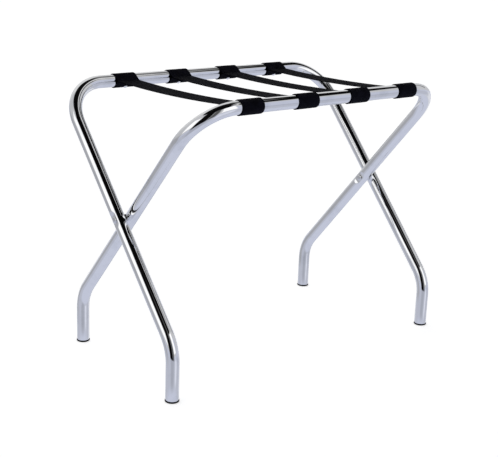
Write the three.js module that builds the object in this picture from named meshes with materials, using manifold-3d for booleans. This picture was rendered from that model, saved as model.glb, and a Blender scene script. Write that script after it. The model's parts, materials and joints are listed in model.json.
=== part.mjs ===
// Folding luggage rack: two bent chrome tubes that cross like an X at each end, four webbing
// straps across the top, and a plug in each foot.
//
// Millimetres. X runs along the top bars, Y from front to back, Z up.
// The origin is on the floor, in the middle of the rack.

import * as THREE from 'three';
import { mergeVertices } from 'three/addons/utils/BufferGeometryUtils.js';
import Module from 'manifold-3d';

// ---------------------------------------------------------------- driving dimensions

// Tube
const TUBE_DIAMETER = 25.4;
const TUBE_WALL = 1.2;

// Frames, on tube centre lines
const RACK_LENGTH = 686;        // between the two outside legs
const BAR_HEIGHT = 531;         // floor to a top bar
const BAR_SPREAD = 389;         // between the top bars, held by the straps
const FOOT_SPREAD = 344;        // between the front and back feet
const ANKLE_HEIGHT = 102;       // floor to the corner of the bend above a foot
const CORNER_RADIUS = 85;       // bend between a top bar and a leg
const ANKLE_RADIUS = 82;        // bend above a foot

// Pivots
const PIVOT_SHANK_RADIUS = 3.1;
const PIVOT_HEAD_RADIUS = 6.5;
const PIVOT_HEAD_HEIGHT = 2.2;
const SPACER_RADIUS = 8.5;
const SPACER_THICKNESS = 2.3;
const DIMPLE_DEPTH = 2.8;       // flat pressed into a tube where a rivet head sits
const DIMPLE_FLAT = 8;          // half the length of its flat, along the tube
const DIMPLE_REACH = 20;        // half its whole length, ramps included

// Straps
const STRAP_COUNT = 4;
const STRAP_END_MARGIN = 1.8;   // from the edge of an end strap to the bend of the inner bar
const STRAP_WIDTH = 50.8;
const STRAP_THICKNESS = 1.6;
const STRAP_SAG = 5;
const STRAP_TAIL = 30;          // length of the sewn double ply beside each bar
const LOOP_TOP_ANGLE = 52;      // degrees above level, where the span leaves the bar
const LOOP_BOTTOM_ANGLE = 35;   // degrees below level, where the tail leaves the bar

// Strap rivets
const STRAP_RIVET_ANGLE = 55;   // degrees below level, on the side that faces the other bar
const STRAP_RIVET_SHANK_RADIUS = 2;
const STRAP_RIVET_HEAD_RADIUS = 4;
const STRAP_RIVET_HEAD_HEIGHT = 2;
const STRAP_RIVET_TAIL_RADIUS = 3.2;
const STRAP_RIVET_TAIL_LENGTH = 3.5;

// Foot plugs
const PLUG_LIP = 0.8;           // how far the flange stands out past the tube
const PLUG_FLANGE_HEIGHT = 1.8;
const PLUG_DOME_HEIGHT = 2.1;
const PLUG_SOLE_RADIUS = 8.5;
const PLUG_STEM_HEIGHT = 18;
const PLUG_RIB_DEPTH = 0.7;
const PLUG_RIB_COUNT = 2;

// Clearance between pieces that touch
const FIT_GAP = 0.3;

// Facets
const TUBE_SIDES = 24;
const BORE_SIDES = 16;
const CORNER_STEPS = 8;
const ANKLE_STEPS = 4;
const DIMPLE_RAMP_STEPS = 3;
const LOOP_STEPS = 20;
const SPAN_STEPS = 11;          // odd, so that the middle of a strap is level
const ROUND_SIDES = 16;
const STRAP_RIVET_SIDES = 12;
const DOME_STEPS = 3;

// ---------------------------------------------------------------- worked-out sizes

const TUBE_RADIUS = TUBE_DIAMETER / 2;
const BORE_RADIUS = TUBE_RADIUS - TUBE_WALL;
const SIDE_STEP = TUBE_DIAMETER + SPACER_THICKNESS + 2 * FIT_GAP;
const OUTER_LEG_X = RACK_LENGTH / 2;
const INNER_LEG_X = OUTER_LEG_X - SIDE_STEP;
const BAR_Y = BAR_SPREAD / 2;
const FOOT_Y = FOOT_SPREAD / 2;
const LEG_SLOPE = (BAR_HEIGHT - ANKLE_HEIGHT) / (BAR_Y + FOOT_Y);
const PIVOT_HEIGHT = BAR_HEIGHT - BAR_Y * LEG_SLOPE;
const TUBE_END_HEIGHT = PLUG_DOME_HEIGHT + PLUG_FLANGE_HEIGHT + FIT_GAP;
const END_STRAP_X = INNER_LEG_X - CORNER_RADIUS - STRAP_END_MARGIN - STRAP_WIDTH / 2;
const STRAP_PITCH = (2 * END_STRAP_X) / (STRAP_COUNT - 1);
const LOOP_INNER_RADIUS = TUBE_RADIUS + FIT_GAP;
const LOOP_OUTER_RADIUS = LOOP_INNER_RADIUS + STRAP_THICKNESS;

const radians = THREE.MathUtils.degToRad;
const X_AXIS = new THREE.Vector3(1, 0, 0);
const Y_AXIS = new THREE.Vector3(0, 1, 0);
const Z_AXIS = new THREE.Vector3(0, 0, 1);

// ---------------------------------------------------------------- materials

const material = (color, roughness, metalness) =>
  new THREE.MeshStandardMaterial({ color, roughness, metalness });
const chrome = () => material(0xc9ccd2, 0.08, 1);
const rivetSteel = () => material(0xb9bcc1, 0.2, 1);
const webbing = () => material(0x121216, 0.9, 0);
const plugPlastic = () => material(0x17171a, 0.55, 0);
const spacerSteel = () => material(0xc4c6ca, 0.35, 0.8);

// ---------------------------------------------------------------- joining and cutting

const manifold = await Module();
manifold.setup();

function toSolid(geometry) {
  const bare = geometry.clone();
  bare.deleteAttribute('normal');
  bare.deleteAttribute('uv');
  const merged = mergeVertices(bare, 1e-4);
  const mesh = new manifold.Mesh({
    numProp: 3,
    vertProperties: Float32Array.from(merged.attributes.position.array),
    triVerts: Uint32Array.from(merged.index.array),
  });
  return new manifold.Manifold(mesh);
}

function toGeometry(solid) {
  const mesh = solid.getMesh();
  const geometry = new THREE.BufferGeometry();
  geometry.setAttribute('position', new THREE.BufferAttribute(mesh.vertProperties, 3));
  geometry.setIndex(new THREE.BufferAttribute(mesh.triVerts, 1));
  return geometry;
}

function cut(geometry, cutters) {
  const body = cutters.reduce((left, cutter) => left.subtract(toSolid(cutter)), toSolid(geometry));
  return toGeometry(body);
}

// ---------------------------------------------------------------- shared shapes

// Corners of a round outline. The corners lie on the circle.
function roundOutline(radius, sides) {
  return Array.from({ length: sides }, (_, i) => {
    const angle = (2 * Math.PI * i) / sides;
    return new THREE.Vector2(radius * Math.cos(angle), radius * Math.sin(angle));
  });
}

// Radius of the corners of a hole whose flats lie on the circle, so that a round piece of that
// radius still passes through it.
const holeCornerRadius = (radius, sides) => radius / Math.cos(Math.PI / sides);

// A centre line through points, with an arc in place of each point that has a bend. It is sampled
// station by station: a straight run is one step from point to point, and the bends are divided.
class BentLine extends THREE.Curve {
  constructor(points) {
    super();
    this.stations = [];
    points.forEach(({ point, bend }, i) => {
      const before = points[i - 1]?.point ?? point;
      const after = points[i + 1]?.point ?? point;
      if (bend) {
        this.addBend(before, point, after, bend);
      } else {
        this.stations.push({ point, tangent: after.clone().sub(before).normalize() });
      }
    });
  }

  addBend(before, corner, after, { radius, steps }) {
    const inward = corner.clone().sub(before).normalize();
    const outward = after.clone().sub(corner).normalize();
    const turn = inward.angleTo(outward);
    const axis = inward.clone().cross(outward).normalize();
    const start = corner.clone().addScaledVector(inward, -radius * Math.tan(turn / 2));
    const toCentre = axis.clone().cross(inward);
    const centre = start.clone().addScaledVector(toCentre, radius);
    for (let i = 0; i <= steps; i += 1) {
      const angle = (turn * i) / steps;
      const point = start.clone().sub(centre).applyAxisAngle(axis, angle).add(centre);
      this.stations.push({ point, tangent: inward.clone().applyAxisAngle(axis, angle) });
    }
  }

  get steps() {
    return this.stations.length - 1;
  }

  station(fraction) {
    return this.stations[Math.round(fraction * this.steps)];
  }

  getPointAt(fraction, target = new THREE.Vector3()) {
    return target.copy(this.station(fraction).point);
  }

  getTangentAt(fraction, target = new THREE.Vector3()) {
    return target.copy(this.station(fraction).tangent);
  }
}

function tubeAlong(line) {
  const section = new THREE.Shape(roundOutline(TUBE_RADIUS, TUBE_SIDES));
  const bore = roundOutline(holeCornerRadius(BORE_RADIUS, BORE_SIDES), BORE_SIDES);
  section.holes.push(new THREE.Path(bore));
  return new THREE.ExtrudeGeometry(section, { steps: line.steps, extrudePath: line });
}

// A turned solid about the local Y axis, from points [radius, height] that start and end on it.
function turned(profile, sides) {
  const points = profile.map(([radius, height]) => new THREE.Vector2(radius, height));
  return new THREE.LatheGeometry(points, sides);
}

// Points of a dome that rises from the rim at height base to its top on the axis.
function domeProfile(rimRadius, base, rise, direction) {
  return Array.from({ length: DOME_STEPS + 1 }, (_, i) => {
    const angle = (Math.PI / 2) * (i / DOME_STEPS);
    const radius = i === DOME_STEPS ? 0 : rimRadius * Math.cos(angle);
    return [radius, base + direction * rise * Math.sin(angle)];
  });
}

// A round cutter along a direction, centred on a point.
function roundCutter(radius, length, centre, direction, sides) {
  const cutter = new THREE.CylinderGeometry(
    holeCornerRadius(radius, sides), holeCornerRadius(radius, sides), length, sides);
  cutter.applyQuaternion(new THREE.Quaternion().setFromUnitVectors(Y_AXIS, direction));
  cutter.translate(centre.x, centre.y, centre.z);
  return cutter;
}

// ---------------------------------------------------------------- places that pieces share

const strapX = Array.from({ length: STRAP_COUNT }, (_, i) => i * STRAP_PITCH - END_STRAP_X);

// Direction out of a bar along its strap rivets. barSide is 1 at the back bar, -1 at the front.
function rivetDirection(barSide) {
  const angle = radians(STRAP_RIVET_ANGLE);
  return new THREE.Vector3(0, -barSide * Math.cos(angle), -Math.sin(angle));
}

// ---------------------------------------------------------------- frames

const legDirection = (barSide) => new THREE.Vector3(0, barSide, LEG_SLOPE).normalize();

// Distances from a pivot, up along its leg, where the dimple needs a station.
const dimpleRamp = Array.from({ length: DIMPLE_RAMP_STEPS + 1 },
  (_, i) => DIMPLE_FLAT + ((DIMPLE_REACH - DIMPLE_FLAT) * i) / DIMPLE_RAMP_STEPS);
const dimpleStations = [...dimpleRamp.map((reach) => -reach).reverse(), ...dimpleRamp];

// One leg from foot to top corner.
function legPoints(x, barSide) {
  const pivot = new THREE.Vector3(x, 0, PIVOT_HEIGHT);
  const dimple = dimpleStations.map(
    (reach) => ({ point: pivot.clone().addScaledVector(legDirection(barSide), reach) }));
  return [
    { point: new THREE.Vector3(x, -barSide * FOOT_Y, TUBE_END_HEIGHT) },
    {
      point: new THREE.Vector3(x, -barSide * FOOT_Y, ANKLE_HEIGHT),
      bend: { radius: ANKLE_RADIUS, steps: ANKLE_STEPS },
    },
    ...dimple,
    {
      point: new THREE.Vector3(x, barSide * BAR_Y, BAR_HEIGHT),
      bend: { radius: CORNER_RADIUS, steps: CORNER_STEPS },
    },
  ];
}

// One tube bent into an upside-down U whose legs lean from the bar to the opposite feet.
function frameLine(legX, barSide) {
  return new BentLine([...legPoints(-legX, barSide), ...legPoints(legX, barSide).reverse()]);
}

// How deep the dimple is at a distance from the pivot.
function dimpleDepth(distance) {
  const ramp = (DIMPLE_REACH - Math.abs(distance)) / (DIMPLE_REACH - DIMPLE_FLAT);
  return DIMPLE_DEPTH * THREE.MathUtils.smoothstep(ramp, 0, 1);
}

// Presses both walls of a frame's legs flat at the pivots, on the side where the rivet heads sit.
// headSide is 1 for heads on the outside of the rack, -1 for heads on its inside.
function pressDimples(geometry, legX, barSide, headSide) {
  const position = geometry.attributes.position;
  const point = new THREE.Vector3();
  for (let i = 0; i < position.count; i += 1) {
    point.fromBufferAttribute(position, i);
    const pivot = new THREE.Vector3(Math.sign(point.x) * legX, 0, PIVOT_HEIGHT);
    const offset = point.clone().sub(pivot);
    const depth = dimpleDepth(offset.dot(legDirection(barSide)));
    const across = offset.projectOnPlane(legDirection(barSide));
    const wallRadius = across.length() > TUBE_RADIUS - TUBE_WALL / 2 ? TUBE_RADIUS : BORE_RADIUS;
    const outward = Math.sign(point.x) * headSide;
    if (depth > 0 && outward * across.x > wallRadius - depth) {
      position.setX(i, pivot.x + outward * (wallRadius - depth));
    }
  }
  return geometry;
}

function pivotHole(x) {
  const centre = new THREE.Vector3(x, 0, PIVOT_HEIGHT);
  return roundCutter(PIVOT_SHANK_RADIUS + FIT_GAP, 2 * TUBE_DIAMETER, centre, X_AXIS, ROUND_SIDES);
}

function strapRivetHole(x, barSide) {
  const direction = rivetDirection(barSide);
  const centre = new THREE.Vector3(x, barSide * BAR_Y, BAR_HEIGHT).addScaledVector(direction, TUBE_RADIUS);
  const radius = STRAP_RIVET_SHANK_RADIUS + FIT_GAP;
  return roundCutter(radius, TUBE_RADIUS, centre, direction, STRAP_RIVET_SIDES);
}

function frame(name, legX, barSide, headSide) {
  const holes = [pivotHole(-legX), pivotHole(legX)];
  strapX.forEach((x) => holes.push(strapRivetHole(x, barSide)));
  const tube = pressDimples(tubeAlong(frameLine(legX, barSide)), legX, barSide, headSide);
  const mesh = new THREE.Mesh(cut(tube, holes), chrome());
  mesh.name = name;
  return mesh;
}

// ---------------------------------------------------------------- pivots

// A rivet through both crossing tubes, with a domed head in the dimple at each end.
function pivotRivet(name, side) {
  const headSeat = (OUTER_LEG_X - INNER_LEG_X) / 2 + TUBE_RADIUS - DIMPLE_DEPTH + FIT_GAP;
  const mesh = new THREE.Mesh(turned([
    ...domeProfile(PIVOT_HEAD_RADIUS, -headSeat, PIVOT_HEAD_HEIGHT, -1).reverse(),
    [PIVOT_SHANK_RADIUS, -headSeat],
    [PIVOT_SHANK_RADIUS, headSeat],
    ...domeProfile(PIVOT_HEAD_RADIUS, headSeat, PIVOT_HEAD_HEIGHT, 1),
  ], ROUND_SIDES), rivetSteel());
  mesh.name = name;
  mesh.quaternion.setFromUnitVectors(Y_AXIS, X_AXIS);
  mesh.position.set((side * (OUTER_LEG_X + INNER_LEG_X)) / 2, 0, PIVOT_HEIGHT);
  return mesh;
}

// The washer that keeps the crossing tubes apart.
function spacer(name, side) {
  const ring = new THREE.Shape(roundOutline(SPACER_RADIUS, ROUND_SIDES));
  const holeRadius = holeCornerRadius(PIVOT_SHANK_RADIUS + FIT_GAP, ROUND_SIDES);
  ring.holes.push(new THREE.Path(roundOutline(holeRadius, ROUND_SIDES)));
  const geometry = new THREE.ExtrudeGeometry(ring, { depth: SPACER_THICKNESS, bevelEnabled: false });
  geometry.translate(0, 0, -SPACER_THICKNESS / 2);
  const mesh = new THREE.Mesh(geometry, spacerSteel());
  mesh.name = name;
  mesh.quaternion.setFromUnitVectors(Z_AXIS, X_AXIS);
  mesh.position.set((side * (OUTER_LEG_X + INNER_LEG_X)) / 2, 0, PIVOT_HEIGHT);
  return mesh;
}

// ---------------------------------------------------------------- straps

// Outline points are [along Y, above the bars' centre line]. The plies of a loop leave the bar
// along tangents, the lower one bends level, they meet inboard of the bar, and they run on as a
// double ply to the end of the tail.

// Points round a bar from the top leaving point, over the far side, to the bottom leaving point.
function loopArc(radius) {
  const start = Math.PI - radians(LOOP_TOP_ANGLE);
  const turn = 2 * Math.PI - radians(LOOP_TOP_ANGLE + LOOP_BOTTOM_ANGLE);
  return Array.from({ length: LOOP_STEPS + 1 }, (_, i) => {
    const angle = start - (turn * i) / LOOP_STEPS;
    return [BAR_Y + radius * Math.cos(angle), radius * Math.sin(angle)];
  });
}

// Where the tangent from a leaving point, at leaveAngle off level, comes within a given height
// of the bar's centre line.
function tangentReach(radius, height, leaveAngle) {
  const leave = radians(leaveAngle);
  return BAR_Y - (radius - height * Math.sin(leave)) / Math.cos(leave);
}

// The sagging span between the loops, from the front to the back, lowered by depth.
function spanPoints(halfLength, depth) {
  return Array.from({ length: SPAN_STEPS + 1 }, (_, i) => {
    const y = halfLength * ((2 * i) / SPAN_STEPS - 1);
    const sag = STRAP_SAG * (1 - (y / halfLength) ** 2);
    return [y, STRAP_THICKNESS - sag - depth];
  });
}

const toFront = ([y, z]) => [-y, z];

function strapOutline() {
  const joinY = tangentReach(LOOP_OUTER_RADIUS, STRAP_THICKNESS, LOOP_TOP_ANGLE);
  const undersideY = tangentReach(LOOP_OUTER_RADIUS, STRAP_THICKNESS, LOOP_BOTTOM_ANGLE);
  const tailY = joinY - STRAP_TAIL;
  const tailSag = STRAP_SAG * (1 - (tailY / joinY) ** 2);
  const backEnd = [
    ...loopArc(LOOP_OUTER_RADIUS),
    [undersideY, -STRAP_THICKNESS],
    [joinY, -STRAP_THICKNESS],
    [tailY, -STRAP_THICKNESS - tailSag],
  ];
  const top = spanPoints(joinY, 0);
  const underside = spanPoints(joinY, STRAP_THICKNESS).filter(([y]) => Math.abs(y) < tailY);
  underside.unshift([-tailY, -tailSag]);
  underside.push([tailY, -tailSag]);
  const clockwise = [...top, ...backEnd, ...underside.reverse(), ...backEnd.map(toFront).reverse()];
  return clockwise.reverse();
}

function loopHole() {
  const tip = [tangentReach(LOOP_INNER_RADIUS, 0, LOOP_TOP_ANGLE), 0];
  const underside = [tangentReach(LOOP_INNER_RADIUS, 0, LOOP_BOTTOM_ANGLE), 0];
  return [tip, ...loopArc(LOOP_INNER_RADIUS), underside];
}

const toVectors = (points) => points.map(([y, z]) => new THREE.Vector2(y, z));

// Webbing in rack axes, centred on x = 0 and on the height of the bars.
function strapGeometry() {
  const shape = new THREE.Shape(toVectors(strapOutline()));
  shape.holes.push(new THREE.Path(toVectors(loopHole())));
  shape.holes.push(new THREE.Path(toVectors(loopHole().map(toFront))));
  const geometry = new THREE.ExtrudeGeometry(shape, { depth: STRAP_WIDTH, bevelEnabled: false });
  geometry.translate(0, 0, -STRAP_WIDTH / 2);
  geometry.applyMatrix4(new THREE.Matrix4().makeBasis(Y_AXIS, Z_AXIS, X_AXIS));
  const holes = [1, -1].map((barSide) => {
    const direction = rivetDirection(barSide);
    const centre = new THREE.Vector3(0, barSide * BAR_Y, 0).addScaledVector(direction, LOOP_OUTER_RADIUS);
    const radius = STRAP_RIVET_SHANK_RADIUS + FIT_GAP;
    return roundCutter(radius, 4 * STRAP_THICKNESS, centre, direction, STRAP_RIVET_SIDES);
  });
  return cut(geometry, holes);
}

function strap(name, x) {
  const mesh = new THREE.Mesh(strapGeometry(), webbing());
  mesh.name = name;
  mesh.position.set(x, 0, BAR_HEIGHT);
  return mesh;
}

// A blind rivet: domed head on the webbing, shank through ply and tube wall, swollen tail inside.
function strapRivet(name, x, barSide) {
  const headSeat = LOOP_OUTER_RADIUS + FIT_GAP;
  const tailSeat = BORE_RADIUS * Math.cos(Math.asin(STRAP_RIVET_TAIL_RADIUS / BORE_RADIUS)) - FIT_GAP;
  const mesh = new THREE.Mesh(turned([
    [0, tailSeat - STRAP_RIVET_TAIL_LENGTH],
    [STRAP_RIVET_TAIL_RADIUS, tailSeat - STRAP_RIVET_TAIL_LENGTH],
    [STRAP_RIVET_TAIL_RADIUS, tailSeat],
    [STRAP_RIVET_SHANK_RADIUS, tailSeat],
    [STRAP_RIVET_SHANK_RADIUS, headSeat],
    ...domeProfile(STRAP_RIVET_HEAD_RADIUS, headSeat, STRAP_RIVET_HEAD_HEIGHT, 1),
  ], STRAP_RIVET_SIDES), rivetSteel());
  mesh.name = name;
  mesh.quaternion.setFromUnitVectors(Y_AXIS, rivetDirection(barSide));
  mesh.position.set(x, barSide * BAR_Y, BAR_HEIGHT);
  return mesh;
}

// ---------------------------------------------------------------- foot plugs

// A moulded plug: ribbed stem inside the tube, flange at the tube's end, domed sole with a flat.
function plugProfile() {
  const flangeRadius = TUBE_RADIUS + PLUG_LIP;
  const flangeTop = PLUG_DOME_HEIGHT + PLUG_FLANGE_HEIGHT;
  const ribRadius = BORE_RADIUS - FIT_GAP;
  const coreRadius = ribRadius - PLUG_RIB_DEPTH;
  const ribPitch = PLUG_STEM_HEIGHT / (2 * PLUG_RIB_COUNT + 1);
  const points = [[0, 0], [PLUG_SOLE_RADIUS, 0]];
  for (let i = 1; i <= DOME_STEPS; i += 1) {
    const angle = (Math.PI / 2) * (i / DOME_STEPS);
    const reach = PLUG_SOLE_RADIUS + (flangeRadius - PLUG_SOLE_RADIUS) * Math.sin(angle);
    points.push([reach, PLUG_DOME_HEIGHT * (1 - Math.cos(angle))]);
  }
  points.push([flangeRadius, flangeTop], [coreRadius, flangeTop]);
  for (let i = 0; i < PLUG_RIB_COUNT; i += 1) {
    const ribBase = flangeTop + (2 * i + 1) * ribPitch;
    points.push([coreRadius, ribBase], [ribRadius, ribBase]);
    points.push([ribRadius, ribBase + ribPitch], [coreRadius, ribBase + ribPitch]);
  }
  points.push([coreRadius, flangeTop + PLUG_STEM_HEIGHT], [0, flangeTop + PLUG_STEM_HEIGHT]);
  return points;
}

function plug(name, x, y) {
  const mesh = new THREE.Mesh(turned(plugProfile(), ROUND_SIDES), plugPlastic());
  mesh.name = name;
  mesh.quaternion.setFromUnitVectors(Y_AXIS, Z_AXIS);
  mesh.position.set(x, y, 0);
  return mesh;
}

// ---------------------------------------------------------------- the rack

const rack = new THREE.Group();

rack.add(frame('outer_frame', OUTER_LEG_X, 1, 1));
rack.add(frame('inner_frame', INNER_LEG_X, -1, -1));

[['left', -1], ['right', 1]].forEach(([word, side]) => {
  rack.add(pivotRivet(`pivot_rivet_${word}`, side));
  rack.add(spacer(`spacer_${word}`, side));
  rack.add(plug(`plug_front_${word}`, side * OUTER_LEG_X, -FOOT_Y));
  rack.add(plug(`plug_back_${word}`, side * INNER_LEG_X, FOOT_Y));
});

strapX.forEach((x, i) => {
  rack.add(strap(`strap_${i + 1}`, x));
  rack.add(strapRivet(`strap_rivet_back_${i + 1}`, x, 1));
  rack.add(strapRivet(`strap_rivet_front_${i + 1}`, x, -1));
});

export default rack;
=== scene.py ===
import json
from math import acos, atan, cos, pi, radians, sin, sqrt, tan, tau

import bmesh
import bpy
from mathutils import Matrix, Vector

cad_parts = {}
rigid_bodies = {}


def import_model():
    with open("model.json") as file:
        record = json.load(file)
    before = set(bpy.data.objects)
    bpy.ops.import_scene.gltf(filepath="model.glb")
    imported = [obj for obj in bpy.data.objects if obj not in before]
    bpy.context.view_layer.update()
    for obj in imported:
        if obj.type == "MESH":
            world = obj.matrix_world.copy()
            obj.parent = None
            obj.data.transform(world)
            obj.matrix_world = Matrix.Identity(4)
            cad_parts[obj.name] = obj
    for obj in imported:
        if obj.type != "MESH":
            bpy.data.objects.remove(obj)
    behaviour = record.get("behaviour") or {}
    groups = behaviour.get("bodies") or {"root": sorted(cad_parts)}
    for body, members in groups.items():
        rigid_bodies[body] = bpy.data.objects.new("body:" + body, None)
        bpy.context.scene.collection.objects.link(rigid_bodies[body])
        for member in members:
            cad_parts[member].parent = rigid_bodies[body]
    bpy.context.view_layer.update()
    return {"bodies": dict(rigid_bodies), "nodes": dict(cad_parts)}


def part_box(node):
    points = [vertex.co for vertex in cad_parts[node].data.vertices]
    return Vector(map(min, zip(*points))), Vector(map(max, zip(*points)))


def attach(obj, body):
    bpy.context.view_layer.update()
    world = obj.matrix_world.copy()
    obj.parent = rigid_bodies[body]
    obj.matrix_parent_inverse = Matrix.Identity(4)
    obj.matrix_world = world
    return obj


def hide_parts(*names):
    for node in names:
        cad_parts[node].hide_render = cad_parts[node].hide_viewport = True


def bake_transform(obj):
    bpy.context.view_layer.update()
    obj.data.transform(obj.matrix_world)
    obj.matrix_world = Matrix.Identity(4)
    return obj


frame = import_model()
X_AXIS = Vector((1, 0, 0))
Y_AXIS = Vector((0, 1, 0))
Z_AXIS = Vector((0, 0, 1))


# ------------------------------------------------------------------------------------ camera
# A short telephoto view from the front left, a little above the rack. The view is shifted
# sideways and down so that the rack sits off its centre.
CAMERA_PLACE = Vector((-1.4095, -1.5683, 0.8188))
CAMERA_YAW = radians(39.274)
CAMERA_PITCH = radians(15.08)
CAMERA_ROLL = radians(1.529)
CAMERA_LENS = 76.0
CAMERA_SHIFT_X = 0.08032
CAMERA_SHIFT_Y = -0.02008
SENSOR_WIDTH = 36
CAMERA_REACH = 100

camera = bpy.data.objects.new("camera", bpy.data.cameras.new("camera"))
bpy.context.scene.collection.objects.link(camera)
camera.matrix_world = (
    Matrix.Translation(CAMERA_PLACE)
    @ Matrix.Rotation(-CAMERA_YAW, 4, "Z")
    @ Matrix.Rotation(pi / 2 - CAMERA_PITCH, 4, "X")
    @ Matrix.Rotation(CAMERA_ROLL, 4, "Z")
)
camera.data.lens = CAMERA_LENS
camera.data.sensor_width = SENSOR_WIDTH
camera.data.shift_x = CAMERA_SHIFT_X
camera.data.shift_y = CAMERA_SHIFT_Y
camera.data.clip_end = CAMERA_REACH
bpy.context.scene.camera = camera
bpy.context.scene.view_settings.view_transform = "Standard"


# ------------------------------------------------------------------------------- the two tubes
# Each frame is one length of round steel tube, bent for the two top corners and again above
# each foot, then polished and chromed. The outer one has its legs outside. Where a pivot rivet
# sits, the wall is pressed flat in a shallow dimple.
TUBE_RADIUS = 0.0127
TUBE_WALL = 0.0012
ANKLE_HEIGHT = 0.102
ANKLE_RADIUS = 0.082
CORNER_RADIUS = 0.085
TUBE_SIDES = 72
CORNER_STEPS = 32
ANKLE_STEPS = 14
DIMPLE_DEPTH = 0.0028
DIMPLE_FLAT = 0.008
DIMPLE_REACH = 0.020
DIMPLE_EDGE = 0.0012
DIMPLE_STEPS = 40
RIM_BEVEL = 0.0003
SHARP_ANGLE = radians(40)

CHROME_COLOUR = (0.93, 0.935, 0.95, 1)
CHROME_HAZE_COLOUR = (0.82, 0.83, 0.85, 1)


class DrawnSection:
    """An open or closed section, drawn out through straight runs and bends."""

    def __init__(self, bm, ring, place, heading, measure=None):
        self.bm = bm
        self.ring = ring
        self.place = place.copy()
        self.heading = heading.normalized()
        self.measure = measure
        self.length = 0

    def extrude(self, step):
        grown = bmesh.ops.extrude_edge_only(self.bm, edges=self.ring)["geom"]
        verts = [part for part in grown if isinstance(part, bmesh.types.BMVert)]
        ends = set(verts)
        edges = [part for part in grown if isinstance(part, bmesh.types.BMEdge)]
        self.ring = [edge for edge in edges if ends.issuperset(edge.verts)]
        self.length += step
        if self.measure:
            for vert in verts:
                vert[self.measure] = self.length
        return verts

    def run(self, length, steps=1):
        for _ in range(steps):
            verts = self.extrude(length / steps)
            bmesh.ops.translate(self.bm, verts=verts, vec=self.heading * (length / steps))
        self.place += self.heading * length

    def bend(self, radius, angle, axis, steps):
        centre = self.place + axis.cross(self.heading) * radius
        turn = Matrix.Rotation(angle / steps, 3, axis)
        for _ in range(steps):
            verts = self.extrude(radius * angle / steps)
            bmesh.ops.rotate(self.bm, verts=verts, cent=centre, matrix=turn)
            self.place = centre + turn @ (self.place - centre)
            self.heading = turn @ self.heading


def mirror_whole(bm, axis):
    whole = bm.verts[:] + bm.edges[:] + bm.faces[:]
    bmesh.ops.mirror(bm, geom=whole, matrix=Matrix.Identity(4), merge_dist=1e-6, axis=axis)


def new_piece(bm, name, material):
    """A piece from a finished bmesh, shaded smooth except across its sharp edges."""
    mesh = bpy.data.meshes.new(name)
    bm.to_mesh(mesh)
    bm.free()
    mesh.shade_smooth()
    mesh.set_sharp_from_angle(angle=SHARP_ANGLE)
    mesh.materials.append(material)
    piece = bpy.data.objects.new(name, mesh)
    bpy.context.scene.collection.objects.link(piece)
    return piece


def stands_for(piece, node):
    """The piece takes the place of a CAD node: the node is hidden and the piece joins its body."""
    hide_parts(node)
    for body, empty in frame["bodies"].items():
        if frame["nodes"][node].parent == empty:
            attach(piece, body)


def new_material(name):
    """A node material: its node tree, and its Principled BSDF."""
    material = bpy.data.materials.new(name)
    material.use_nodes = True
    tree = material.node_tree
    return material, tree, tree.nodes["Principled BSDF"]


def add_node(tree, kind, inputs=(), **settings):
    """A node with its settings, and its inputs either linked or set."""
    node = tree.nodes.new(kind)
    for key, value in settings.items():
        setattr(node, key, value)
    for key, value in dict(inputs).items():
        if isinstance(value, bpy.types.NodeSocket):
            tree.links.new(value, node.inputs[key])
        else:
            node.inputs[key].default_value = value
    return node


def maths(tree, operation, *values):
    return add_node(tree, "ShaderNodeMath", enumerate(values), operation=operation).outputs[0]


def remap(tree, value, low, high, to_low=0.0, to_high=1.0, smooth=False):
    kind = "SMOOTHSTEP" if smooth else "LINEAR"
    inputs = enumerate((value, low, high, to_low, to_high))
    return add_node(tree, "ShaderNodeMapRange", inputs, interpolation_type=kind).outputs[0]


def mix_colour(tree, mask, first, second):
    node = tree.nodes.new("ShaderNodeMix")
    node.data_type = "RGBA"
    for key, value in ((0, mask), (6, first), (7, second)):
        if isinstance(value, bpy.types.NodeSocket):
            tree.links.new(value, node.inputs[key])
        else:
            node.inputs[key].default_value = value
    return node.outputs[2]


def object_place(tree):
    """Where a point of the surface is, in metres in the piece's own frame."""
    return add_node(tree, "ShaderNodeTexCoord").outputs["Object"]


def noise(tree, place, scale, detail=3.0, roughness=0.55):
    inputs = {"Vector": place, "Scale": scale, "Detail": detail, "Roughness": roughness}
    return add_node(tree, "ShaderNodeTexNoise", inputs).outputs["Fac"]


def new_group(name, inputs, outputs):
    """An empty shader group with float sockets. Gives it, its tree inputs and its output node."""
    group = bpy.data.node_groups.new(name, "ShaderNodeTree")
    for socket, kind in inputs:
        group.interface.new_socket(socket, in_out="INPUT", socket_type=kind)
    for socket in outputs:
        group.interface.new_socket(socket, in_out="OUTPUT", socket_type="NodeSocketFloat")
    entry = group.nodes.new("NodeGroupInput")
    result = group.nodes.new("NodeGroupOutput")
    return group, entry.outputs, result.inputs


def use_group(tree, group, inputs):
    node = tree.nodes.new("ShaderNodeGroup")
    node.node_tree = group
    for key, value in inputs.items():
        if isinstance(value, bpy.types.NodeSocket):
            tree.links.new(value, node.inputs[key])
        else:
            node.inputs[key].default_value = value
    return node.outputs


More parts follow.
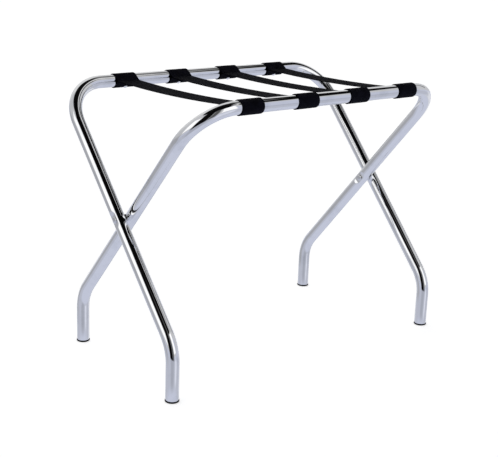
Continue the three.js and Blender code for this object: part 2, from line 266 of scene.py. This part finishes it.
# Marks of handling on bare metal: broad smears from hands and cloths, and hair-fine scratches.
handling_marks, marks_in, marks_out = new_group(
    "handling marks",
    [("Place", "NodeSocketVector"), ("Smear Size", "NodeSocketFloat"),
     ("Scratch Size", "NodeSocketFloat")],
    ["Smears", "Scratches"])
smear_scale = maths(handling_marks, "DIVIDE", 1.0, marks_in["Smear Size"])
scratch_scale = maths(handling_marks, "DIVIDE", 1.0, marks_in["Scratch Size"])
smears = noise(handling_marks, marks_in["Place"], smear_scale, 4.0, 0.6)
handling_marks.links.new(
    remap(handling_marks, smears, 0.45, 0.75, smooth=True), marks_out["Smears"])
hairs = add_node(
    handling_marks, "ShaderNodeTexVoronoi",
    {"Vector": marks_in["Place"], "Scale": scratch_scale, "Randomness": 1.0},
    feature="DISTANCE_TO_EDGE").outputs["Distance"]
patches = noise(handling_marks, marks_in["Place"], smear_scale, 2.0)
fine_lines = remap(handling_marks, hairs, 0.0, 0.02, 1.0, 0.0)
worn_patches = remap(handling_marks, patches, 0.5, 0.62, smooth=True)
handling_marks.links.new(
    maths(handling_marks, "MULTIPLY", fine_lines, worn_patches), marks_out["Scratches"])


def polished_metal(name, colour, haze_colour, roughness, haze_roughness, smear_size,
                   scratch_size, scratch_depth):
    material, tree, shader = new_material(name)
    place = object_place(tree)
    marks = use_group(tree, handling_marks, {
        "Place": place, "Smear Size": smear_size, "Scratch Size": scratch_size})
    colour_out = mix_colour(tree, marks["Smears"], colour, haze_colour)
    worn = maths(tree, "MULTIPLY", marks["Scratches"], 0.5)
    haze = maths(tree, "MAXIMUM", marks["Smears"], worn)
    tree.links.new(colour_out, shader.inputs["Base Color"])
    tree.links.new(
        remap(tree, haze, 0.0, 1.0, roughness, haze_roughness), shader.inputs["Roughness"])
    shader.inputs["Metallic"].default_value = 1
    bump = add_node(tree, "ShaderNodeBump", {
        "Height": marks["Scratches"], "Strength": 0.25, "Distance": scratch_depth})
    bump.invert = True
    tree.links.new(bump.outputs[0], shader.inputs["Normal"])
    return material


chrome = polished_metal(
    "chrome tube", CHROME_COLOUR, CHROME_HAZE_COLOUR, roughness=0.035, haze_roughness=0.075,
    smear_size=0.045, scratch_size=0.012, scratch_depth=0.000004)


def press_dimple(verts, centre, leg, outward):
    """Presses the wall of a leg flat round its pivot, with a soft edge to the flat."""
    for vert in verts:
        offset = vert.co - centre
        ramp = (DIMPLE_REACH - abs(offset.dot(leg))) / (DIMPLE_REACH - DIMPLE_FLAT)
        ramp = min(max(ramp, 0), 1)
        press = ramp * ramp * (3 - 2 * ramp)
        if press > 0:
            out = outward * offset.x
            limit = TUBE_RADIUS - DIMPLE_DEPTH * press
            edge = DIMPLE_EDGE * press
            soften = max(edge - abs(out - limit), 0) / edge
            vert.co.x = centre.x + outward * (min(out, limit) - soften * soften * edge / 4)


def bent_tube(node, head_side):
    """One frame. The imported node's box gives where its bar, legs and feet are."""
    low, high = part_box(node)
    bar_at_back = abs(high.y) > abs(low.y)
    bar_y, foot_y = (high.y, low.y) if bar_at_back else (low.y, high.y)
    inward = TUBE_RADIUS if bar_at_back else -TUBE_RADIUS
    foot = Vector((high.x - TUBE_RADIUS, foot_y + inward, low.z))
    ankle = Vector((foot.x, foot.y, ANKLE_HEIGHT))
    corner = Vector((foot.x, bar_y - inward, high.z - TUBE_RADIUS))
    leg = (corner - ankle).normalized()
    ankle_turn = acos(leg.z)
    ankle_reach = ANKLE_RADIUS * tan(ankle_turn / 2)

    bm = bmesh.new()
    bmesh.ops.create_circle(bm, segments=TUBE_SIDES, radius=TUBE_RADIUS)
    bmesh.ops.translate(bm, verts=bm.verts, vec=foot)
    tube = DrawnSection(bm, bm.edges[:], foot, Z_AXIS)
    tube.run(ankle.z - foot.z - ankle_reach)
    tube.bend(ANKLE_RADIUS, ankle_turn, Z_AXIS.cross(leg).normalized(), ANKLE_STEPS)
    rivet_low, rivet_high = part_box("pivot_rivet_right")
    pivot = Vector((foot.x, 0, (rivet_low.z + rivet_high.z) / 2))
    tube.run((pivot - tube.place).length - DIMPLE_REACH)
    plain = set(bm.verts)
    tube.run(2 * DIMPLE_REACH, DIMPLE_STEPS)
    press_dimple(set(bm.verts) - plain, pivot, leg, head_side)
    tube.run((corner - tube.place).length - CORNER_RADIUS)
    tube.bend(CORNER_RADIUS, pi / 2, leg.cross(-X_AXIS).normalized(), CORNER_STEPS)
    tube.run(tube.place.x)
    mirror_whole(bm, "X")
    bmesh.ops.recalc_face_normals(bm, faces=bm.faces)
    bmesh.ops.solidify(bm, geom=bm.faces[:], thickness=TUBE_WALL)
    rims = [edge for edge in bm.edges if edge.calc_face_angle(0) > SHARP_ANGLE]
    bmesh.ops.bevel(
        bm, geom=rims, affect="EDGES", offset=RIM_BEVEL, segments=2, profile=0.5, material=-1)
    stands_for(new_piece(bm, node + "_tube", chrome), node)


bent_tube("outer_frame", head_side=1)
bent_tube("inner_frame", head_side=-1)


# ------------------------------------------------------------------------- pivots and spacers
# A solid steel rivet goes through both tubes where they cross, set with a low domed head at
# each end. A plated washer on its shank keeps the tubes from rubbing.
PIVOT_SHANK_RADIUS = 0.0031
PIVOT_HEAD_RADIUS = 0.0065
PIVOT_HEAD_HEIGHT = 0.0022
PIVOT_HEAD_RIM = 0.0005
SPACER_RADIUS = 0.0085
SPACER_BORE_RADIUS = 0.0034
SPACER_BEVEL = 0.0004
TURNED_SIDES = 48
DOME_STEPS = 8

RIVET_COLOUR = (0.86, 0.865, 0.88, 1)
RIVET_HAZE_COLOUR = (0.6, 0.61, 0.63, 1)
SPACER_COLOUR = (0.84, 0.85, 0.87, 1)
SPACER_HAZE_COLOUR = (0.55, 0.56, 0.6, 1)

rivet_steel = polished_metal(
    "rivet steel", RIVET_COLOUR, RIVET_HAZE_COLOUR, roughness=0.12, haze_roughness=0.28,
    smear_size=0.004, scratch_size=0.0016, scratch_depth=0.00003)
spacer_steel = polished_metal(
    "spacer steel", SPACER_COLOUR, SPACER_HAZE_COLOUR, roughness=0.1, haze_roughness=0.25,
    smear_size=0.003, scratch_size=0.001, scratch_depth=0.00003)


def turned(profile, steps=TURNED_SIDES):
    """A piece turned about Z from points [radius, height]."""
    bm = bmesh.new()
    verts = [bm.verts.new((radius, 0, height)) for radius, height in profile]
    edges = [bm.edges.new(pair) for pair in zip(verts, verts[1:])]
    bmesh.ops.spin(
        bm, geom=verts + edges, cent=(0, 0, 0), axis=Z_AXIS, angle=tau, steps=steps,
        use_merge=True)
    bmesh.ops.remove_doubles(bm, verts=bm.verts, dist=1e-7)
    bmesh.ops.recalc_face_normals(bm, faces=bm.faces)
    return bm


def dome(rim_radius, base, rise):
    """Profile points of a dome from its rim at height base to its top on the axis."""
    points = []
    for i in range(DOME_STEPS + 1):
        angle = pi / 2 * i / DOME_STEPS
        points.append((rim_radius * cos(angle) if i < DOME_STEPS else 0, base + rise * sin(angle)))
    return points


def set_axis(bm, axis, place):
    """Turns a piece made about Z so that its axis points along another, and moves it there."""
    turn = Z_AXIS.rotation_difference(axis).to_matrix().to_4x4()
    bmesh.ops.transform(bm, verts=bm.verts, matrix=Matrix.Translation(place) @ turn)


def pivot_rivet(node):
    low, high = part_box(node)
    seat = (high.x - low.x) / 2 - PIVOT_HEAD_HEIGHT
    head = [(PIVOT_HEAD_RADIUS, seat)]
    head += dome(PIVOT_HEAD_RADIUS, seat + PIVOT_HEAD_RIM, PIVOT_HEAD_HEIGHT - PIVOT_HEAD_RIM)
    far_head = [(radius, -height) for radius, height in reversed(head)]
    shank = [(PIVOT_SHANK_RADIUS, -seat), (PIVOT_SHANK_RADIUS, seat)]
    bm = turned(far_head + shank + head)
    set_axis(bm, X_AXIS, (low + high) / 2)
    stands_for(new_piece(bm, node + "_set", rivet_steel), node)


def spacer(node):
    low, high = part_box(node)
    half = (high.x - low.x) / 2
    bore = [(SPACER_BORE_RADIUS, half), (SPACER_BORE_RADIUS, -half)]
    rim = [(SPACER_RADIUS - SPACER_BEVEL, -half), (SPACER_RADIUS, SPACER_BEVEL - half),
           (SPACER_RADIUS, half - SPACER_BEVEL), (SPACER_RADIUS - SPACER_BEVEL, half)]
    bm = turned(bore + rim + bore[:1])
    set_axis(bm, X_AXIS, (low + high) / 2)
    stands_for(new_piece(bm, node + "_washer", spacer_steel), node)


for side in ("left", "right"):
    pivot_rivet("pivot_rivet_" + side)
    spacer("spacer_" + side)


# -------------------------------------------------------------------------------------- straps
# Each strap is a length of heavy black polypropylene webbing. It is wrapped once round each
# bar, and the end is laid back under the span and sewn down as a double ply by two rows of
# black thread.
STRAP_COUNT = 4
STRAP_WIDTH = 0.0508
STRAP_THICKNESS = 0.0015
STRAP_PLY = 0.0016
STRAP_SAG = 0.005
STRAP_TAIL = 0.030
STRAP_CREASE_RADIUS = 0.005
LOOP_RADIUS = 0.0138
LOOP_TOP_ANGLE = radians(52)
LOOP_BOTTOM_ANGLE = radians(35)
LOOP_STEPS = 48
CREASE_STEPS = 6
TAIL_BEND_RADIUS = 0.03
SPAN_STEPS = 24
TAIL_STEPS = 6
STRAP_COLUMNS = 8
STITCH_ROWS = (0.008, 0.024)
STITCH_MARGIN = 0.003
STITCHES_IN_ROW = 12
STITCH_COVER = 0.78
STITCH_RADIUS = 0.0003
STITCH_FACETS = 6

# The darker thread colour is painted shade for the grooves between the twisted strands, and the lighter
# one is a painted highlight for their crests.
THREAD_GROOVE_PAINTED_SHADE = (0.004, 0.004, 0.005, 1)
THREAD_CREST_PAINTED_HIGHLIGHT = (0.016, 0.016, 0.019, 1)
# The darkest webbing colour is painted shade for the dips of the weave, and the lightest is a painted
# highlight for the tops of the yarns.
WEBBING_DIP_PAINTED_SHADE = (0.0006, 0.0006, 0.0012, 1)
WEBBING_TOP_PAINTED_HIGHLIGHT = (0.0190, 0.0185, 0.0340, 1)
WEBBING_DUST = (0.024, 0.023, 0.028, 1)
YARN_PITCH = 0.00127
FLOAT_LENGTH = 0.0032
YARNS_IN_CHEVRON = 10.0

# Woven webbing: warp yarns side by side along the strap, each dipping under the weft in turn,
# so that the floats step into chevrons.
webbing_weave, weave_in, weave_out = new_group(
    "webbing weave",
    [("Along", "NodeSocketFloat"), ("Across", "NodeSocketFloat")],
    ["Height", "Yarn"])
column = maths(webbing_weave, "DIVIDE", weave_in["Across"], YARN_PITCH)
column_number = maths(webbing_weave, "FLOOR", column)
chevron = maths(webbing_weave, "PINGPONG", column_number, YARNS_IN_CHEVRON)
stagger = maths(webbing_weave, "MULTIPLY", chevron, 0.25)
row = maths(webbing_weave, "ADD", maths(
    webbing_weave, "DIVIDE", weave_in["Along"], FLOAT_LENGTH), stagger)
across_yarn = maths(webbing_weave, "MULTIPLY", maths(webbing_weave, "FRACT", column), pi)
yarn_round = maths(webbing_weave, "SINE", across_yarn)
float_wave = maths(webbing_weave, "COSINE", maths(webbing_weave, "MULTIPLY", row, tau))
float_height = remap(webbing_weave, float_wave, -1.0, 1.0, 0.25, 1.0)
webbing_weave.links.new(
    maths(webbing_weave, "MULTIPLY", yarn_round, float_height), weave_out["Height"])
webbing_weave.links.new(
    maths(webbing_weave, "POWER", yarn_round, 0.5), weave_out["Yarn"])


def webbing_material():
    material, tree, shader = new_material("black webbing")
    along = add_node(tree, "ShaderNodeAttribute", attribute_name="along").outputs["Fac"]
    across = add_node(tree, "ShaderNodeAttribute", attribute_name="across").outputs["Fac"]
    weave = use_group(tree, webbing_weave, {"Along": along, "Across": across})
    place = object_place(tree)
    patches = noise(tree, place, 60.0, 3.0)
    fluff = noise(tree, place, 2500.0, 2.0)
    # The weave's height sets the colour: painted shade in the dips between the yarns and a painted
    # highlight on their tops, scaled by a random patchy tone.
    painted_weave_shade_and_tone = maths(tree, "MULTIPLY", weave["Height"], remap(tree, patches, 0.35, 0.65, 0.4, 1.0))
    yarn_colour_and_painted_shade = mix_colour(tree, painted_weave_shade_and_tone, WEBBING_DIP_PAINTED_SHADE, WEBBING_TOP_PAINTED_HIGHLIGHT)
    dust = maths(tree, "MULTIPLY", remap(tree, fluff, 0.62, 0.8), 0.25)
    tree.links.new(mix_colour(tree, dust, yarn_colour_and_painted_shade, WEBBING_DUST), shader.inputs["Base Color"])
    tree.links.new(
        remap(tree, weave["Yarn"], 0.0, 1.0, 0.95, 0.72), shader.inputs["Roughness"])
    shader.inputs["Specular IOR Level"].default_value = 0.03
    bump = add_node(tree, "ShaderNodeBump", {
        "Height": weave["Height"], "Strength": 0.8, "Distance": 0.00035})
    tree.links.new(bump.outputs[0], shader.inputs["Normal"])
    return material


webbing = webbing_material()


def thread_material():
    """Twisted black sewing thread: two strands that wind round each other across the strap."""
    material, tree, shader = new_material("black thread")
    place = object_place(tree)
    twist = add_node(tree, "ShaderNodeTexWave", {
        "Vector": place, "Scale": 700.0, "Distortion": 1.5}, bands_direction="DIAGONAL")
    strand = twist.outputs["Fac"]
    # The strands' wave sets the colour as well as the bumps: painted shade in the grooves and a painted
    # highlight on the crests.
    tree.links.new(
        mix_colour(tree, strand, THREAD_GROOVE_PAINTED_SHADE, THREAD_CREST_PAINTED_HIGHLIGHT), shader.inputs["Base Color"])
    tree.links.new(remap(tree, strand, 0.0, 1.0, 0.7, 0.5), shader.inputs["Roughness"])
    shader.inputs["Specular IOR Level"].default_value = 0.15
    bump = add_node(tree, "ShaderNodeBump", {
        "Height": strand, "Strength": 0.6, "Distance": 0.00008})
    tree.links.new(bump.outputs[0], shader.inputs["Normal"])
    return material


thread = thread_material()


def strap_section(bm, place):
    """The outline of the webbing, flat with rounded selvedges, in the plane of X and Z."""
    half_width = STRAP_WIDTH / 2
    half_height = STRAP_THICKNESS / 2
    flat = half_width - half_height
    top = [(flat * (2 * i / STRAP_COLUMNS - 1), half_height) for i in range(STRAP_COLUMNS + 1)]
    selvedge = [(flat + half_height * sin(pi * i / 4), half_height * cos(pi * i / 4))
                for i in range(1, 4)]
    right = top + selvedge
    outline = right + [(-x, -z) for x, z in right]
    verts = [bm.verts.new((place.x + x, place.y, place.z + z)) for x, z in outline]
    return [bm.edges.new((vert, verts[i - 1])) for i, vert in enumerate(verts)]


def loop_reach(leave_angle):
    """How far inboard of its bar a ply that leaves at this angle comes level with the joint."""
    return (LOOP_RADIUS - STRAP_PLY / 2 * sin(leave_angle)) / cos(leave_angle)


def stitches(name, bar, join_y, middle, span_radius):
    """Short thread stitches in rows across both double plies, on their top and underside."""
    bm = bmesh.new()
    pitch = (STRAP_WIDTH - 2 * STITCH_MARGIN) / STITCHES_IN_ROW
    thread_shape = Matrix.Diagonal((pitch * STITCH_COVER / 2, STITCH_RADIUS, STITCH_RADIUS, 1))
    for distance in STITCH_ROWS:
        y = join_y - distance
        ply_z = middle.z + span_radius - sqrt(span_radius * span_radius - y * y)
        top = ply_z + STRAP_THICKNESS / 2
        underside = ply_z - STRAP_PLY - STRAP_THICKNESS / 2
        for z in (top, underside):
            for i in range(STITCHES_IN_ROW):
                x = bar.x - STRAP_WIDTH / 2 + STITCH_MARGIN + pitch * (i + 0.5)
                bmesh.ops.create_uvsphere(
                    bm, u_segments=STITCH_FACETS, v_segments=STITCH_FACETS - 2, radius=1,
                    matrix=Matrix.Translation((x, y, z)) @ thread_shape)
    mirror_whole(bm, "Y")
    bmesh.ops.recalc_face_normals(bm, faces=bm.faces)
    return new_piece(bm, name, thread)


def strap(number):
    node = f"strap_{number}"
    low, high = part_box(node)
    bar_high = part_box("outer_frame")[1]
    bar = Vector(((low.x + high.x) / 2, bar_high.y - TUBE_RADIUS, bar_high.z - TUBE_RADIUS))
    ply = STRAP_PLY / 2
    join_y = bar.y - loop_reach(LOOP_TOP_ANGLE)
    fold_y = bar.y - loop_reach(LOOP_BOTTOM_ANGLE)
    end_slope = atan(2 * STRAP_SAG / join_y)
    span_radius = join_y / sin(end_slope)
    rise_slope = pi / 2 - LOOP_TOP_ANGLE
    crease_reach = STRAP_CREASE_RADIUS * tan((rise_slope - end_slope) / 2)
    span_turn = end_slope * (1 - crease_reach / join_y)
    fold_turn = pi / 2 - LOOP_BOTTOM_ANGLE
    fold_reach = STRAP_CREASE_RADIUS * tan(fold_turn / 2)
    middle = Vector((bar.x, 0, bar.z + ply - STRAP_SAG))

    bm = bmesh.new()
    along = bm.verts.layers.float.new("along")
    web = DrawnSection(bm, strap_section(bm, middle), middle, Y_AXIS, along)
    web.bend(span_radius, span_turn, X_AXIS, SPAN_STEPS)
    web.bend(STRAP_CREASE_RADIUS, rise_slope - span_turn, X_AXIS, CREASE_STEPS)
    web.run((bar - web.place).dot(web.heading))
    web.bend(LOOP_RADIUS, tau - LOOP_TOP_ANGLE - LOOP_BOTTOM_ANGLE, -X_AXIS, LOOP_STEPS)
    web.run((Vector((bar.x, fold_y, bar.z - ply)) - web.place).length - fold_reach)
    web.bend(STRAP_CREASE_RADIUS, fold_turn, X_AXIS, CREASE_STEPS)
    web.run(web.place.y - join_y)
    web.bend(TAIL_BEND_RADIUS, end_slope, X_AXIS, 1)
    web.bend(span_radius, STRAP_TAIL / span_radius, -X_AXIS, TAIL_STEPS)
    bmesh.ops.contextual_create(bm, geom=web.ring)
    mirror_whole(bm, "Y")
    across = bm.verts.layers.float.new("across")
    for vert in bm.verts:
        vert[across] = vert.co.x - bar.x
        if vert.co.y < 0:
            vert[along] = -vert[along]
    bmesh.ops.recalc_face_normals(bm, faces=bm.faces)
    piece = new_piece(bm, node + "_webbing", webbing)
    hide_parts(node)
    seam = stitches(node + "_stitching", bar, join_y, middle, span_radius)
    for part in (piece, seam):
        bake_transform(part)


for number in range(1, STRAP_COUNT + 1):
    strap(number)


# ------------------------------------------------------------------------------- strap rivets
# An aluminium blind rivet holds each loop to its bar, so that the straps can't slide: a small domed head
# on the webbing, with the broken end of its pin in the middle, and a swollen tail in the tube.
STRAP_RIVET_ANGLE = radians(55)
STRAP_RIVET_SHANK_RADIUS = 0.002
STRAP_RIVET_HEAD_RADIUS = 0.004
STRAP_RIVET_HEAD_HEIGHT = 0.002
STRAP_RIVET_TAIL_RADIUS = 0.0032
STRAP_RIVET_TAIL_LENGTH = 0.0035
STRAP_RIVET_PIN_RADIUS = 0.0011
STRAP_RIVET_PIN_DEPTH = 0.0006
PIN_RIM_SHARE = 0.97
PIN_FOOT_SHARE = 0.9
PIN_CROWN_SHARE = 0.7
TAIL_END_SHARE = 0.7
TAIL_SHOULDER_SHARE = 0.9
HEAD_SEAT = 0.0149
TAIL_SEAT = 0.0104

ALUMINIUM_COLOUR = (1.0, 1.0, 1.0, 1)
ALUMINIUM_HAZE_COLOUR = (0.90, 0.90, 0.91, 1)

rivet_aluminium = polished_metal(
    "satin aluminium", ALUMINIUM_COLOUR, ALUMINIUM_HAZE_COLOUR,
    roughness=0.38, haze_roughness=0.50,
    smear_size=0.004, scratch_size=0.0016, scratch_depth=0.00002)


def strap_rivet(node, bar_side):
    frame_node = "outer_frame" if bar_side > 0 else "inner_frame"
    bar_low, bar_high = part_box(frame_node)
    bar_y = bar_high.y - TUBE_RADIUS if bar_side > 0 else bar_low.y + TUBE_RADIUS
    low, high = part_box(node)
    place = Vector(((low.x + high.x) / 2, bar_y, bar_high.z - TUBE_RADIUS))
    axis = Vector((0, -bar_side * cos(STRAP_RIVET_ANGLE), -sin(STRAP_RIVET_ANGLE)))
    tail_base = TAIL_SEAT - STRAP_RIVET_TAIL_LENGTH
    head = dome(STRAP_RIVET_HEAD_RADIUS, HEAD_SEAT, STRAP_RIVET_HEAD_HEIGHT)
    crown = [point for point in head if point[0] > STRAP_RIVET_PIN_RADIUS]
    pin_rim = HEAD_SEAT + STRAP_RIVET_HEAD_HEIGHT * PIN_RIM_SHARE
    pin = [(STRAP_RIVET_PIN_RADIUS, pin_rim),
           (STRAP_RIVET_PIN_RADIUS * PIN_FOOT_SHARE, pin_rim - STRAP_RIVET_PIN_DEPTH),
           (0, pin_rim - STRAP_RIVET_PIN_DEPTH * PIN_CROWN_SHARE)]
    bm = turned([
        (0, tail_base),
        (STRAP_RIVET_TAIL_RADIUS * TAIL_END_SHARE, tail_base),
        (STRAP_RIVET_TAIL_RADIUS, (tail_base + TAIL_SEAT) / 2),
        (STRAP_RIVET_TAIL_RADIUS * TAIL_SHOULDER_SHARE, TAIL_SEAT),
        (STRAP_RIVET_SHANK_RADIUS, TAIL_SEAT),
        (STRAP_RIVET_SHANK_RADIUS, HEAD_SEAT),
    ] + crown + pin, steps=32)
    set_axis(bm, axis, place)
    stands_for(new_piece(bm, node + "_set", rivet_aluminium), node)


for number in range(1, STRAP_COUNT + 1):
    strap_rivet(f"strap_rivet_back_{number}", 1)
    strap_rivet(f"strap_rivet_front_{number}", -1)


# --------------------------------------------------------------------------------- foot plugs
# A moulded black plastic plug is pushed into each foot: a ribbed stem that grips the bore, a
# flange that meets the tube's end, and a low domed sole with a flat to stand on.
PLUG_FLANGE_RADIUS = 0.0135
PLUG_FLANGE_HEIGHT = 0.0018
PLUG_DOME_HEIGHT = 0.0021
PLUG_SOLE_RADIUS = 0.0085
PLUG_STEM_HEIGHT = 0.018
PLUG_RIB_RADIUS = 0.0112
PLUG_CORE_RADIUS = 0.0105
PLUG_RIBS = 2
PLUG_EDGE = 0.0003

PLUG_COLOUR = (0.0015, 0.0015, 0.0018, 1)
PLUG_SCUFF_COLOUR = (0.03, 0.03, 0.032, 1)


def plug_material():
    material, tree, shader = new_material("black plug")
    place = object_place(tree)
    grain = noise(tree, place, 1400.0, 3.0)
    scuffs = remap(tree, noise(tree, place, 220.0, 5.0, 0.7), 0.55, 0.75, smooth=True)
    height = add_node(tree, "ShaderNodeSeparateXYZ", {"Vector": place}).outputs["Z"]
    near_floor = remap(tree, height, 0.0, 0.002, 1.0, 0.0)
    worn = maths(tree, "MULTIPLY", scuffs, near_floor)
    tree.links.new(
        mix_colour(tree, worn, PLUG_COLOUR, PLUG_SCUFF_COLOUR), shader.inputs["Base Color"])
    tree.links.new(remap(tree, grain, 0.3, 0.7, 0.5, 0.65), shader.inputs["Roughness"])
    shader.inputs["Specular IOR Level"].default_value = 0.06
    bump = add_node(tree, "ShaderNodeBump", {
        "Height": grain, "Strength": 0.4, "Distance": 0.00008})
    tree.links.new(bump.outputs[0], shader.inputs["Normal"])
    return material


plug_plastic = plug_material()


def foot_plug(node):
    low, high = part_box(node)
    flange_top = PLUG_DOME_HEIGHT + PLUG_FLANGE_HEIGHT
    reach = PLUG_FLANGE_RADIUS - PLUG_SOLE_RADIUS
    profile = [(0, 0)]
    for i in range(DOME_STEPS + 1):
        angle = pi / 2 * i / DOME_STEPS
        profile.append((PLUG_SOLE_RADIUS + reach * sin(angle), PLUG_DOME_HEIGHT * (1 - cos(angle))))
    profile += [(PLUG_FLANGE_RADIUS, flange_top - PLUG_EDGE),
                (PLUG_FLANGE_RADIUS - PLUG_EDGE, flange_top),
                (PLUG_CORE_RADIUS, flange_top)]
    rib_pitch = PLUG_STEM_HEIGHT / (2 * PLUG_RIBS + 1)
    for i in range(PLUG_RIBS):
        base = flange_top + (2 * i + 1) * rib_pitch
        profile += [(PLUG_CORE_RADIUS, base), (PLUG_RIB_RADIUS, base + PLUG_EDGE),
                    (PLUG_RIB_RADIUS, base + rib_pitch - PLUG_EDGE),
                    (PLUG_CORE_RADIUS, base + rib_pitch)]
    stem_top = flange_top + PLUG_STEM_HEIGHT
    profile += [(PLUG_CORE_RADIUS, stem_top - PLUG_EDGE), (PLUG_CORE_RADIUS - PLUG_EDGE, stem_top),
                (0, stem_top)]
    bm = turned(profile)
    set_axis(bm, Z_AXIS, Vector(((low.x + high.x) / 2, (low.y + high.y) / 2, low.z)))
    stands_for(new_piece(bm, node + "_moulded", plug_plastic), node)


for place in ("front_left", "front_right", "back_left", "back_right"):
    foot_plug("plug_" + place)


# ------------------------------------------------------------------------- floor and the studio
# A plain white floor that runs up to the white of the backdrop. The studio round it is painted
# on the world: light panels, dark gaps between them and a dark ceiling, for the chrome to show.
FLOOR_RADIUS = 14.0
FLOOR_SIDES = 96
FLOOR_GLOW = 0.72
FLOOR_DARK = (0.83, 0.83, 0.83, 1)
FLOOR_LIGHT = (0.86, 0.86, 0.86, 1)

floor_material, tree, shader = new_material("studio floor")
place = object_place(tree)
speckle = noise(tree, place, 300.0, 2.0)
shader.inputs["Roughness"].default_value = 0.9
shader.inputs["Specular IOR Level"].default_value = 0
tree.links.new(
    mix_colour(tree, speckle, FLOOR_DARK, FLOOR_LIGHT),
    shader.inputs["Base Color"])
shader.inputs["Emission Color"].default_value = (1, 1, 1, 1)
shader.inputs["Emission Strength"].default_value = FLOOR_GLOW
bm = bmesh.new()
bmesh.ops.create_circle(bm, cap_ends=True, segments=FLOOR_SIDES, radius=FLOOR_RADIUS)
floor = new_piece(bm, "floor", floor_material)
floor.visible_glossy = False
floor.visible_diffuse = False

# A panel of the studio: a soft-edged patch of directions round an azimuth, between two heights.
studio_panel, panel_in, panel_out = new_group(
    "studio panel",
    [("Direction", "NodeSocketVector"), ("Azimuth", "NodeSocketFloat"),
     ("Half Width", "NodeSocketFloat"), ("Low", "NodeSocketFloat"),
     ("High", "NodeSocketFloat"), ("Softness", "NodeSocketFloat")],
    ["Mask"])
facing = add_node(studio_panel, "ShaderNodeVectorRotate", {
    "Vector": panel_in["Direction"], "Axis": Z_AXIS,
    "Angle": maths(studio_panel, "RADIANS", maths(
        studio_panel, "MULTIPLY", panel_in["Azimuth"], -1.0))}, rotation_type="AXIS_ANGLE")
parts = add_node(
    studio_panel, "ShaderNodeSeparateXYZ", {"Vector": facing.outputs[0]}).outputs
aside = maths(studio_panel, "DEGREES", maths(studio_panel, "ABSOLUTE", maths(
    studio_panel, "ARCTAN2", parts["Y"], parts["X"])))
height = maths(studio_panel, "DEGREES", maths(studio_panel, "ARCSINE", parts["Z"]))
soft = panel_in["Softness"]


def panel_edge(value, edge, inside):
    low = maths(studio_panel, "SUBTRACT", edge, soft)
    high = maths(studio_panel, "ADD", edge, soft)
    ends = (0.0, 1.0) if inside else (1.0, 0.0)
    return remap(studio_panel, value, low, high, *ends, smooth=True)


panel_width = panel_edge(aside, panel_in["Half Width"], inside=False)
panel_foot = panel_edge(height, panel_in["Low"], inside=True)
panel_head = panel_edge(height, panel_in["High"], inside=False)
studio_panel.links.new(maths(studio_panel, "MULTIPLY", panel_width, maths(
    studio_panel, "MULTIPLY", panel_foot, panel_head)), panel_out["Mask"])


def grey(level, tint=0.0):
    return (level * (1 - tint), level * (1 - 0.8 * tint), level, 1)


DEEP_FLOOR = grey(0.71, 0.20)
BACKDROP_COLOUR = grey(1.0)

# Azimuth, half width, low edge, high edge and softness in degrees, then the panel's colour.
PANELS = [
    ("far floor", (0, 181, -38, -9, 5), grey(0.59, 0.17)),
    ("dark floor", (-132, 24, -38, -8, 6), grey(0.48, 0.17)),
    ("lit floor", (-74, 16, -34, -8, 5), grey(0.80, 0.14)),
    ("dim floor", (-46, 12, -16, -4, 4), grey(0.55, 0.2)),
    ("side floor", (12, 16, -36, -6, 6), grey(0.80, 0.08)),
    ("back floor", (85, 12, -36, -6, 5), grey(0.74, 0.08)),
    ("walls", (0, 181, -1, 95, 3), grey(0.58, 0.03)),
    ("skirting", (128, 30, -20, 5, 5), grey(0.42, 0.08)),
    ("back light panel", (65, 38, 10, 60, 4), grey(0.70)),
    ("high wall", (0, 40, 48, 62, 2), grey(0.20)),
    ("ceiling", (0, 181, 60, 95, 2), grey(0.004)),
    ("front canopy", (-108, 57, 46, 95, 1.5), grey(0.002)),
    ("ceiling lamp", (-25, 7, 47, 55, 1.5), grey(1.0)),
    ("dark rail", (-1, 36, 38, 49, 1.5), grey(0.004)),
    ("dark doorway", (-137, 21, -10, 52, 2), grey(0.003)),
    ("doorway side", (-106, 9, -10, 52, 3), grey(0.10)),
    ("front light panel", (-73, 17, 4, 46, 2), grey(1.1)),
    ("left light panel", (178, 20, 6, 44, 2), grey(1.1)),
    ("blue gap", (-47, 11, -3, 31, 3), grey(0.66, 0.20)),
    ("dark post", (-1, 4, 12, 38, 1.5), grey(0.10)),
]

world = bpy.data.worlds.new("studio")
bpy.context.scene.world = world
world.use_nodes = True
tree = world.node_tree
tree.nodes.clear()
direction = add_node(tree, "ShaderNodeTexCoord").outputs["Generated"]
colour = DEEP_FLOOR
for name, (azimuth, half_width, low, high, softness), panel_colour in PANELS:
    mask = use_group(tree, studio_panel, {
        "Direction": direction, "Azimuth": azimuth, "Half Width": half_width,
        "Low": low, "High": high, "Softness": softness})["Mask"]
    colour = mix_colour(tree, mask, colour, panel_colour)
studio = add_node(tree, "ShaderNodeBackground", {"Color": colour, "Strength": 1.0}).outputs[0]
backdrop = add_node(
    tree, "ShaderNodeBackground", {"Color": BACKDROP_COLOUR, "Strength": 1.0}).outputs[0]
to_camera = add_node(tree, "ShaderNodeLightPath").outputs["Is Camera Ray"]
seen = add_node(tree, "ShaderNodeMixShader", enumerate((to_camera, studio, backdrop))).outputs[0]
add_node(tree, "ShaderNodeOutputWorld", {"Surface": seen})
